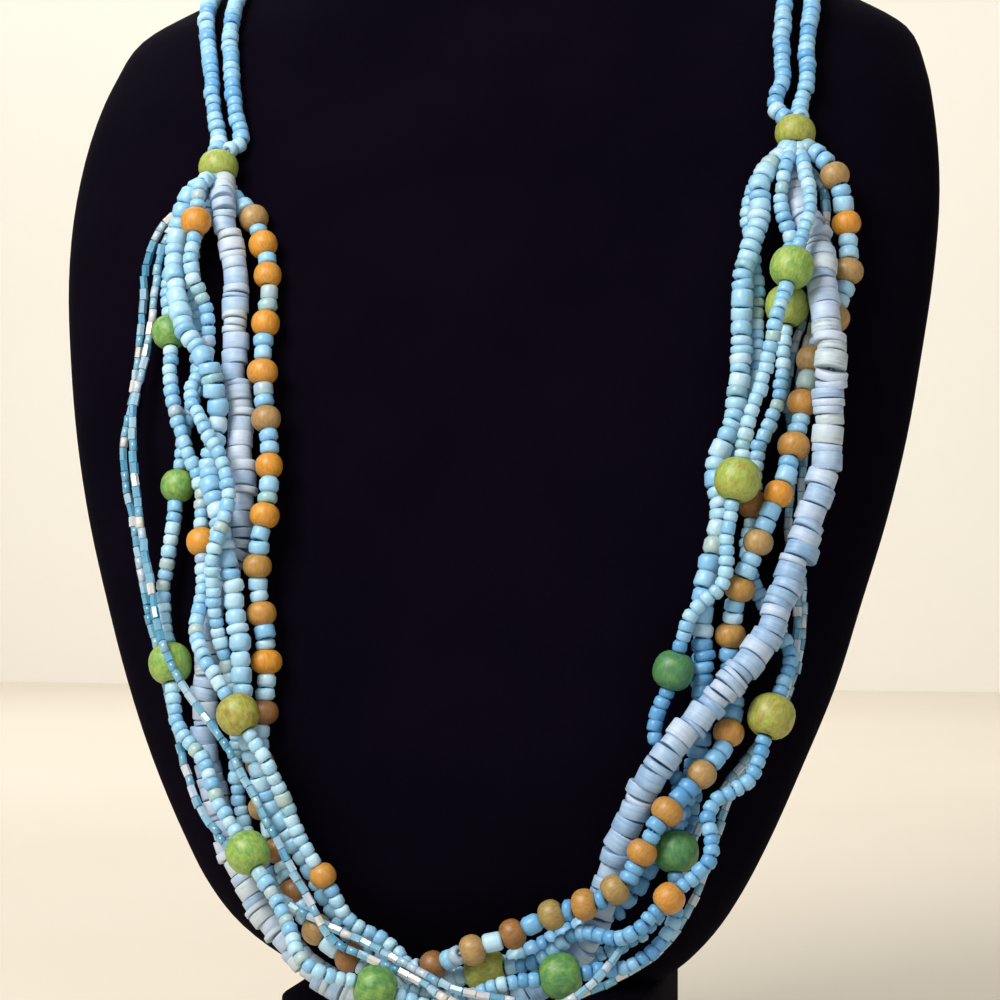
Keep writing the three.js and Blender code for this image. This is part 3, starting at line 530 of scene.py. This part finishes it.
def barrel(bore_share):
    """A wooden barrel bead with a countersunk bore, bore_share of its diameter wide."""
    heights = np.sin(np.linspace(-math.pi / 2, math.pi / 2, ROUND_RINGS)) * 0.5
    power = BARREL_SQUARENESS
    wall = [(0.5 * (1 - (abs(h) / BARREL_REACH) ** power) ** (1 / power), h) for h in heights]
    bore = bore_share / 2
    lip = bore + LIP_SHARE * (wall[0][0] - bore)
    start, end = [(bore, -BORE_HEIGHT), (lip, -LIP_HEIGHT)], [(lip, LIP_HEIGHT), (bore, BORE_HEIGHT)]
    return smooth(turned(ROUND_SIDES, start + wall + end))


# Strings: paths through the rings of their solids


def points_of(node):
    return np.array([v.co[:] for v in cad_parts[node].data.vertices])


def unit(direction):
    return direction / np.linalg.norm(direction)


def rings_of(node):
    """The rings of a solid that is turned round a spine, from its left or lower end: arrays of points."""
    form = bmesh.new()
    form.from_mesh(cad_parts[node].data)
    bmesh.ops.remove_doubles(form, verts=form.verts, dist=0.001 * MM)
    # The middle of each end has the most edges, and each step from there along the edges is a ring
    most = max(len(v.link_edges) for v in form.verts)
    ends = [v for v in form.verts if len(v.link_edges) == most]
    front = {min(ends, key=lambda v: (round(v.co.x, 4), v.co.z))}
    seen = set(front)
    rings = []
    while front:
        front = {edge.other_vert(v) for v in front for edge in v.link_edges} - seen
        seen |= front
        if len(front) > 2:
            rings.append(np.array([v.co[:] for v in front]))
    form.free()
    return rings


def smooth_points(points, parts):
    """Points on a smooth curve through the given ones, with parts steps between two of them."""
    gaps = np.linalg.norm(np.diff(points, axis=0), axis=1)[:, None]
    slopes = np.diff(points, axis=0) / gaps
    inner = (slopes[:-1] * gaps[1:] + slopes[1:] * gaps[:-1]) / (gaps[1:] + gaps[:-1])
    tangents = np.vstack([slopes[:1], inner, slopes[-1:]])
    t = np.linspace(0, 1, parts, endpoint=False)[None, :, None]
    start, end = points[:-1, None], points[1:, None]
    leave, arrive = tangents[:-1, None] * gaps[:, None], tangents[1:, None] * gaps[:, None]
    curve = (
        (2 * t**3 - 3 * t**2 + 1) * start
        + (t**3 - 2 * t**2 + t) * leave
        + (3 * t**2 - 2 * t**3) * end
        + (t**3 - t**2) * arrive
    )
    return np.vstack([curve.reshape(-1, points.shape[1]), points[-1:]])


class Path:
    """A string's centreline, read by length from its left end."""

    def __init__(self, rings):
        self.middles = np.array([ring.mean(axis=0) for ring in rings])
        self.points = smooth_points(self.middles, PATH_FINENESS)
        steps = np.linalg.norm(np.diff(self.points, axis=0), axis=1)
        self.lengths = np.concatenate([[0], np.cumsum(steps)])

    def at(self, length):
        return np.array([np.interp(length, self.lengths, self.points[:, k]) for k in range(3)]).T

    def direction(self, length, reach):
        """The way it runs from reach before a length to reach past it."""
        return unit(self.at(length + reach) - self.at(length - reach))

    def nearest(self, point):
        return self.lengths[np.argmin(np.linalg.norm(self.points - point, axis=1))]

    def ring_length(self, index):
        return self.lengths[PATH_FINENESS * (index % len(self.middles))]

    def beaded(self):
        """Where its beads start and end: just outside the mouths of the gathering beads."""
        return self.ring_length(1) + MOUTH_GAP, self.ring_length(-2) - MOUTH_GAP


def upright(direction):
    """Two directions square to a given one and to each other."""
    side = unit(np.cross(direction, OFF_EVERY_STRING))
    return side, np.cross(direction, side)


def placed(path, start, end, diameter, uneven, share=1):
    """A bead that fills the path from start to end: its matrix and middle, with a random turn, lean,
    offset and ovalness. share makes it hang more or less unevenly than its kind does."""
    a, b = path.at(start), path.at(end)
    direction = unit(b - a)
    side, up = upright(direction)
    spin = random_draw.uniform(0, 2 * math.pi)
    side, up = side * math.cos(spin) + up * math.sin(spin), up * math.cos(spin) - side * math.sin(spin)
    lean = random_draw.normal(0, uneven.lean * share, 2)
    direction = unit(direction + side * lean[0] + up * lean[1])
    side = unit(side - direction * (side @ direction))
    up = np.cross(direction, side)
    offset = random_draw.normal(0, uneven.offset * share, 2) * MM
    middle = (a + b) / 2 + side * offset[0] + up * offset[1]
    oval = random_draw.normal(1, OVAL_SPREAD)
    columns = [side * diameter * oval, up * diameter / oval, direction * np.linalg.norm(b - a)]
    return {"matrix": np.array(columns).T, "middle": middle}


def fill(path, start, end, lengths):
    """Splits a stretch of a path into beads of random lengths that fill it."""
    span = (end - start) / MM
    if span < BARE_STRETCH * lengths[0]:
        return []
    drawn = []
    while sum(drawn) < span:
        drawn.append(random_draw.uniform(*lengths))
    if len(drawn) > 1 and sum(drawn) - span > drawn[-1] / 2:
        drawn.pop()
    ends = start + np.cumsum([0, *drawn]) * (end - start) / sum(drawn)
    return list(zip(ends, ends[1:]))


class Pile:
    """Beads joined into one mesh: each copy keeps its own tint and its own place in the pattern."""

    def __init__(self, *materials):
        self.materials = materials
        self.points, self.faces, self.smooth = [], [], []
        self.tints, self.places, self.finishes = [], [], []
        self.count = 0

    def put(self, shape, bead, tint, material):
        points = shape["points"] @ bead["matrix"].T + bead["middle"]
        size = np.linalg.norm(bead["matrix"], axis=0) / MM
        origin = random_draw.uniform(-PATTERN_REACH, PATTERN_REACH, 3)
        places = shape["points"] * size + origin
        self.add(points, shape["faces"], shape["smooth"], tint, places, material)

    def add(self, points, faces, smooth_faces, tint, places, material):
        self.points.append(points)
        self.faces.append(np.asarray(faces) + self.count)
        self.smooth.append(smooth_faces)
        self.tints.append(np.full(len(points), tint))
        self.places.append(places)
        self.finishes.append(np.full(len(faces), self.materials.index(material)))
        self.count += len(points)

    def made(self, name, node):
        """The piece that the beads make, in place of its node."""
        mesh = bpy.data.meshes.new(name)
        mesh.from_pydata(np.concatenate(self.points), [], np.concatenate(self.faces).tolist())
        mesh.polygons.foreach_set("use_smooth", np.concatenate(self.smooth))
        mesh.polygons.foreach_set("material_index", np.concatenate(self.finishes).astype(np.int32))
        tint = mesh.attributes.new("tint", "FLOAT", "POINT")
        tint.data.foreach_set("value", np.concatenate(self.tints).astype(np.float32))
        place = mesh.attributes.new("place", "FLOAT_VECTOR", "POINT")
        place.data.foreach_set("vector", np.concatenate(self.places).astype(np.float32).ravel())
        for material in self.materials:
            mesh.materials.append(material)
        piece = bpy.data.objects.new(name, mesh)
        bpy.context.scene.collection.objects.link(piece)
        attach(piece, "root")
        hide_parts(node)


def add_thread(pile, path):
    """The thread that the beads hang on, from end to end of the path."""
    lengths = np.arange(0, path.lengths[-1], THREAD_STEP)
    centres = path.at(lengths)
    directions = np.gradient(centres, axis=0)
    angles = np.arange(THREAD_SIDES) * 2 * math.pi / THREAD_SIDES
    rows, places = [], []
    for centre, direction, length in zip(centres, directions, lengths):
        side, up = upright(unit(direction))
        ring = np.outer(np.cos(angles), side) + np.outer(np.sin(angles), up)
        rows.append(centre + ring * THREAD_DIAMETER / 2 * MM)
        places.append(np.column_stack([np.cos(angles), np.sin(angles), np.full(THREAD_SIDES, length / MM)]))
    faces = []
    for row in range(len(rows) - 1):
        for k in range(THREAD_SIDES):
            a, b = row * THREAD_SIDES + k, row * THREAD_SIDES + (k + 1) % THREAD_SIDES
            faces.append([a, b, b + THREAD_SIDES, a + THREAD_SIDES])
    rounded = np.ones(len(faces), bool)
    pile.add(np.vstack(rows), faces, rounded, THREAD_TINT, np.vstack(places), THREAD)


# Tints


def usual_or_odd(usual, odd, odd_share):
    """A tint from the usual range, or for a small share of the beads from the odd one."""
    drawn = [random_draw.uniform(*usual), random_draw.uniform(*odd)]
    return random_draw.choice(drawn, p=[1 - odd_share, odd_share])


def seed_tint(middle):
    """Mostly pale blue, with a few whiter or greyer beads, deeper blue at the neck, and deeper blue painted
    as shade at the lower right.
    """
    if middle[0] > PAINTED_SHADE_FROM and middle[2] < PAINTED_SHADE_SEEDS_BELOW:
        return random_draw.uniform(*SEED_TINTS["painted_shade"])
    if middle[2] > NECK_ABOVE:
        return random_draw.uniform(*SEED_TINTS["neck"])
    return usual_or_odd(SEED_TINTS["pale"], SEED_TINTS["odd"], ODD_SEED_SHARE)


def disc_tint(middle):
    """Pale grey-blue, and a deeper grey-blue painted as shade at the lower right."""
    if middle[0] > PAINTED_SHADE_FROM and middle[2] < PAINTED_SHADE_DISCS_BELOW:
        return random_draw.uniform(*DISC_TINTS["painted_shade"])
    return random_draw.uniform(*DISC_TINTS["pale"])


def cut_tint():
    """Aqua, with a few beads painted white or cream as glints."""
    return usual_or_odd(CUT_TINTS["aqua"], CUT_TINTS["painted_glint"], PAINTED_GLINT_CUT_SHARE)


# Pieces


def add_seeds(pile, path, start, end, seeds):
    """Fills a stretch with seed beads: the larger the beads, the more unevenly they hang."""
    share = seeds.diameter / SMALL_SEEDS.diameter
    for a, b in fill(path, start, end, seeds.lengths):
        shape = SQUARE_SEED if random_draw.random() < seeds.square_share else ROUND_SEED
        width = seeds.diameter * random_draw.normal(1, UNEVEN_SEEDS.width) * MM
        bead = placed(path, a, b, width, UNEVEN_SEEDS, share)
        pile.put(shape, bead, seed_tint(bead["middle"]), SEED_GLASS)


def threaded_on(path, prefix):
    """The large beads on a string: name, length along the path, half length, radius and tint of each."""
    found = []
    for name in sorted(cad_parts):
        if not name.startswith(prefix):
            continue
        points = points_of(name)
        middle = (points.min(axis=0) + points.max(axis=0)) / 2
        length = path.nearest(middle)
        direction = path.direction(length, 2 * MM)
        along = (points - middle) @ direction
        across = np.linalg.norm(points - middle - np.outer(along, direction), axis=1)
        tint = BEAD_TINTS[prefix][int(name.rsplit("_", 1)[1]) - 1]
        found.append(
            {"name": name, "at": length, "half": along.max(), "radius": across.max(), "tint": tint}
        )
    return found


def add_round_bead(node, middle, direction, half_length, radius, bore, slot, tint):
    """One wooden bead, a little oval, in place of its node."""
    length, diameter = 2 * half_length, 2 * radius
    side, up = upright(direction)
    oval = random_draw.normal(1, ROUND_OVAL_SPREAD)
    columns = [side * diameter * oval, up * diameter / oval, direction * length]
    pile = Pile(WOODS[slot])
    bead = {"matrix": np.array(columns).T, "middle": middle}
    pile.put(barrel(bore * MM / diameter), bead, tint, WOODS[slot])
    pile.made(node + "_wood", node)


def add_seed_string(node, seeds, bead_prefixes=()):
    """A string of seed beads, and the large beads on it, whose nodes' names start with the prefixes."""
    path = Path(rings_of(node))
    pile = Pile(SEED_GLASS, THREAD)
    start, end = path.beaded()
    large = [bead for prefix in bead_prefixes for bead in threaded_on(path, prefix)]
    for bead in sorted(large, key=lambda each: each["at"]):
        add_seeds(pile, path, start, bead["at"] - bead["half"], seeds)
        start = bead["at"] + bead["half"]
        add_round_bead(
            bead["name"],
            path.at(bead["at"]),
            path.direction(bead["at"], bead["half"]),
            bead["half"],
            bead["radius"],
            ROUND_BORE,
            "green_wood" if bead["name"].startswith("green") else "amber_wood",
            bead["tint"],
        )
    add_seeds(pile, path, start, end, seeds)
    add_thread(pile, path)
    pile.made(node + "_beads", node)


def add_cut_string(node):
    """A string of thin cut beads, some with their sides tumbled round."""
    path = Path(rings_of(node))
    pile = Pile(CUT_GLASS, THREAD)
    for a, b in fill(path, *path.beaded(), CUT_LENGTHS):
        width = CUT_DIAMETER * random_draw.normal(1, UNEVEN_CUTS.width) * MM
        shape = CUT_BEAD if random_draw.random() < FLAT_CUT_SHARE else TUMBLED_CUT_BEAD
        pile.put(shape, placed(path, a, b, width, UNEVEN_CUTS), cut_tint(), CUT_GLASS)
    add_thread(pile, path)
    pile.made(node + "_beads", node)


def add_disc_string(node):
    """A string of flat discs, wider towards its right end."""
    path = Path(rings_of(node))
    pile = Pile(SHELL, THREAD)
    start, end = path.beaded()
    for a, b in fill(path, start, end, DISC_LENGTHS):
        share = (a - start) / (end - start)
        usual = DISC_DIAMETERS[0] * (1 - share) + DISC_DIAMETERS[1] * share
        width = usual * random_draw.normal(1, UNEVEN_DISCS.width) * MM
        gap = random_draw.choice(DISC_GAPS, p=[1 - WIDE_GAP_SHARE, WIDE_GAP_SHARE]) * MM
        bead = placed(path, a + gap, b - gap, width, UNEVEN_DISCS)
        pile.put(DISC, bead, disc_tint(bead["middle"]), SHELL)
    add_thread(pile, path)
    pile.made(node + "_beads", node)


def add_wood_string(node):
    """A string of wooden barrels, where its solid has them, with a few seed beads between each two."""
    rings = rings_of(node)
    path = Path(rings)
    pile = Pile(AMBER_WOOD, SEED_GLASS, THREAD)
    shape = barrel(WOOD_BORE / WOOD_DIAMETER)
    start, end = path.beaded()
    for i in range((len(rings) - 2 * RINGS_BEFORE_WOOD) // RINGS_A_BEAD):
        first = RINGS_BEFORE_WOOD + RINGS_A_BEAD * i
        last = first + RINGS_A_BEAD - 1
        a, b = path.ring_length(first) + WOOD_INSET, path.ring_length(last) - WOOD_INSET
        add_seeds(pile, path, start, a, SPACER_SEEDS)
        start = b
        width = WOOD_DIAMETER * random_draw.normal(1, UNEVEN_WOOD.width) * MM
        tint = WOOD_TINTS[WOOD_ORDER[i % len(WOOD_ORDER)]] + random_draw.uniform(*WOOD_TINT_SPREAD)
        pile.put(shape, placed(path, a, b, width, UNEVEN_WOOD), tint, AMBER_WOOD)
    add_seeds(pile, path, start, end, SPACER_SEEDS)
    add_thread(pile, path)
    pile.made(node + "_beads", node)


def add_gathering_bead(side):
    """The bead that all threads of one side pass through."""
    node = "gathering_bead_" + side
    points = points_of(node)
    middle = (points.min(axis=0) + points.max(axis=0)) / 2
    centred = points - middle
    # Its axis is square to the widest ring: the direction in which its points spread least
    axis = np.linalg.svd(centred, full_matrices=False)[2][-1]
    axis = axis if axis[2] > 0 else -axis
    along = centred @ axis
    across = np.linalg.norm(centred - np.outer(along, axis), axis=1)
    add_round_bead(
        node, middle, axis, along.max(), across.max(), GATHER_BORE, "green_wood", BEAD_TINTS[node]
    )


def in_order(ring):
    """A ring's points, turned round its middle from the one furthest along +X."""
    middle = ring.mean(axis=0)
    ring = ring[np.argsort(np.arctan2(ring[:, 1] - middle[1], ring[:, 0] - middle[0]))]
    return np.roll(ring, -np.argmax(ring[:, 0]), axis=0)


def rounded_end(rows):
    """Rounds the top rim over and closes it in rings towards the middle."""
    top = rows[-1]
    middle = top.mean(axis=0)
    outward = top - middle
    reach = np.linalg.norm(outward, axis=1)[:, None]
    rim = []
    for step in range(RIM_STEPS + 1):
        angle = step / RIM_STEPS * math.pi / 2
        inset = RIM_ROUND * (1 - math.cos(angle))
        ring = middle + outward * (1 - inset / reach)
        ring[:, 2] = top[:, 2] - RIM_ROUND * (1 - math.sin(angle))
        rim.append(ring)
    below = [row for row in rows if row[:, 2].max() < top[:, 2].min() - RIM_ROUND]
    last = rim[-1]
    inner = [last * (1 - share) + last.mean(axis=0) * share for share in TOP_RINGS]
    return below + rim + inner


def add_velvet_bust():
    """The torso and neck as one smooth skin through the corners of its solid, with a rounded top rim."""
    rings = sorted((in_order(ring) for ring in rings_of("neck_bust")), key=lambda ring: ring[0, 2])
    sides = len(rings[0])
    # Each ring starts and ends with some of its points again, so that its curve closes smoothly
    fine = []
    for ring in rings:
        looped = np.vstack([ring[-RING_OVERLAP:], ring, ring[: RING_OVERLAP + 1]])
        curve = smooth_points(looped, BUST_FINENESS)
        fine.append(curve[RING_OVERLAP * BUST_FINENESS : (RING_OVERLAP + sides) * BUST_FINENESS])
    grid = smooth_points(np.array(fine).reshape(len(fine), -1), BUST_FINENESS)
    skin = bmesh.new()
    rows = rounded_end([row.reshape(-1, 3) for row in grid])
    rows = [[skin.verts.new(point) for point in row] for row in rows]
    for lower, upper in zip(rows, rows[1:]):
        for k in range(len(lower)):
            after = (k + 1) % len(lower)
            skin.faces.new([lower[k], lower[after], upper[after], upper[k]])
    skin.faces.new(rows[0][::-1])
    skin.faces.new(rows[-1])
    bmesh.ops.recalc_face_normals(skin, faces=skin.faces)
    mesh = bpy.data.meshes.new("velvet_torso")
    skin.to_mesh(mesh)
    skin.free()
    mesh.shade_smooth()
    mesh.materials.append(VELVET)
    torso = bpy.data.objects.new("velvet_torso", mesh)
    bpy.context.scene.collection.objects.link(torso)
    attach(torso, "root")
    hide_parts("neck_bust")


def add_velvet_foot():
    """The block that the torso stands on, covered in the same velvet, its edges softened."""
    low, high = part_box("bust_foot")
    size = high - low
    bpy.ops.object.select_all(action="DESELECT")
    bpy.ops.mesh.primitive_cube_add(size=1, location=(low + high) / 2, scale=size)
    foot = bpy.context.object
    foot.name = "velvet_foot"
    bpy.ops.object.transform_apply(location=True, rotation=True, scale=True)
    bpy.ops.object.mode_set(mode="EDIT")
    bpy.ops.mesh.select_mode(type="EDGE")
    bpy.ops.mesh.select_all(action="DESELECT")
    bpy.ops.object.mode_set(mode="OBJECT")
    for edge in foot.data.edges:
        a, b = (foot.data.vertices[i].co for i in edge.vertices)
        edge.select = abs(a.z - b.z) > size.z / 2
    bpy.ops.object.mode_set(mode="EDIT")
    bpy.ops.mesh.bevel(offset=FOOT_CORNER, segments=FOOT_CORNER_STEPS, affect="EDGES")
    bpy.ops.object.mode_set(mode="OBJECT")
    softened = foot.modifiers.new("softened", "BEVEL")
    softened.width = FOOT_EDGE
    softened.segments = FOOT_EDGE_STEPS
    softened.limit_method = "ANGLE"
    bpy.ops.object.modifier_apply(modifier=softened.name)
    bpy.ops.object.shade_smooth_by_angle(angle=math.radians(35))
    foot.data.materials.append(VELVET)
    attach(foot, "root")
    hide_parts("bust_foot")


# Stage, light and camera


def emulsion_paint(name, darker, lighter):
    """Matt emulsion paint, its tone drifting a little every third of a metre."""
    material, tree, shader = new_material(name, Roughness=0.9, Specular_IOR_Level=0.2)
    place = add(tree, "TexCoord", {})
    cloud = add(
        tree, "TexNoise", {"Vector": place.outputs["Object"], "Scale": 1 / (333 * MM), "Detail": 2.0}
    )
    tone = add(tree, "ValToRGB", {"Fac": cloud.outputs["Fac"]}, stops=[(0.3, darker), (0.7, lighter)])
    tree.links.new(tone.outputs["Color"], shader.inputs["Base Color"])
    return material


def add_stage():
    bpy.ops.object.select_all(action="DESELECT")
    bpy.ops.mesh.primitive_plane_add(size=ROOM_SIZE, location=(0, 0, 0))
    floor = bpy.context.object
    floor.name = "floor"
    floor.data.materials.append(emulsion_paint("pale_floor_paint", "#DACFBD", "#DED4C3"))
    bpy.ops.object.select_all(action="DESELECT")
    bpy.ops.mesh.primitive_plane_add(size=ROOM_SIZE, location=WALL_PLACE, rotation=(math.pi / 2, 0, 0))
    wall = bpy.context.object
    wall.name = "backdrop"
    wall.data.materials.append(emulsion_paint("pale_wall_paint", "#F8F2E6", "#FAF5EB"))


def add_area_light(name, place, target, size, power, colour):
    data = bpy.data.lights.new(name, "AREA")
    data.size = size
    data.energy = power
    data.color = linear(colour)[:3]
    light = bpy.data.objects.new(name, data)
    light.location = place
    light.rotation_euler = (Vector(target) - Vector(place)).to_track_quat("-Z", "Y").to_euler()
    bpy.context.scene.collection.objects.link(light)


def add_lights():
    """A soft key from the left and above, a weaker fill, a light from behind, and a wash on the wall."""
    add_area_light("key", (-0.3, -0.55, 0.65), LIT_MIDDLE, size=0.4, power=7.6, colour="#FFFDFA")
    add_area_light("fill", (0.9, -0.9, 0.5), LIT_MIDDLE, size=1.2, power=2.2, colour="#F6F8FF")
    add_area_light("back", (-0.3, 1.2, 1.0), LIT_MIDDLE, size=1.0, power=3.2, colour="#FFFFFF")
    add_area_light("wall_wash", (-0.5, 0.9, 1.3), LIT_WALL, size=1.4, power=15.5, colour="#FFFFFF")
    world = bpy.data.worlds.new("studio")
    bpy.context.scene.world = world
    world.use_nodes = True
    world.node_tree.nodes["Background"].inputs["Color"].default_value = linear("#F4F6FA")
    world.node_tree.nodes["Background"].inputs["Strength"].default_value = 0.3


def add_camera():
    data = bpy.data.cameras.new("camera")
    data.lens = LENS
    data.sensor_width = SENSOR
    data.clip_start = 0.01
    camera = bpy.data.objects.new("camera", data)
    forward = Vector((-math.sin(VIEW_ANGLE), math.cos(VIEW_ANGLE), 0))
    right = Vector((math.cos(VIEW_ANGLE), math.sin(VIEW_ANGLE), 0))
    camera.location = right * VIEW_ACROSS - forward * VIEW_DISTANCE + Vector((0, 0, VIEW_HEIGHT))
    camera.rotation_euler = (math.pi / 2, 0, VIEW_ANGLE)
    bpy.context.scene.collection.objects.link(camera)
    bpy.context.scene.camera = camera


add_camera()
add_lights()
add_stage()
bpy.context.scene.view_settings.view_transform = "Standard"

add_velvet_bust()
add_velvet_foot()
add_gathering_bead("left")
add_gathering_bead("right")
add_cut_string("cut_bead_string_a")
add_cut_string("cut_bead_string_b")
add_seed_string("large_seed_string", LARGE_SEEDS)
add_seed_string("third_seed_string", SMALL_SEEDS, ["orange_bead_third"])
add_seed_string("green_seed_string", SMALL_SEEDS, ["green_bead_green"])
add_seed_string("mixed_seed_string", SMALL_SEEDS, ["green_bead_mixed", "orange_bead_mixed"])
add_disc_string("disc_string")
add_wood_string("wood_string")
add_seed_string("neck_string_outer", NECK_SEEDS)
add_seed_string("neck_string_inner", NECK_SEEDS)
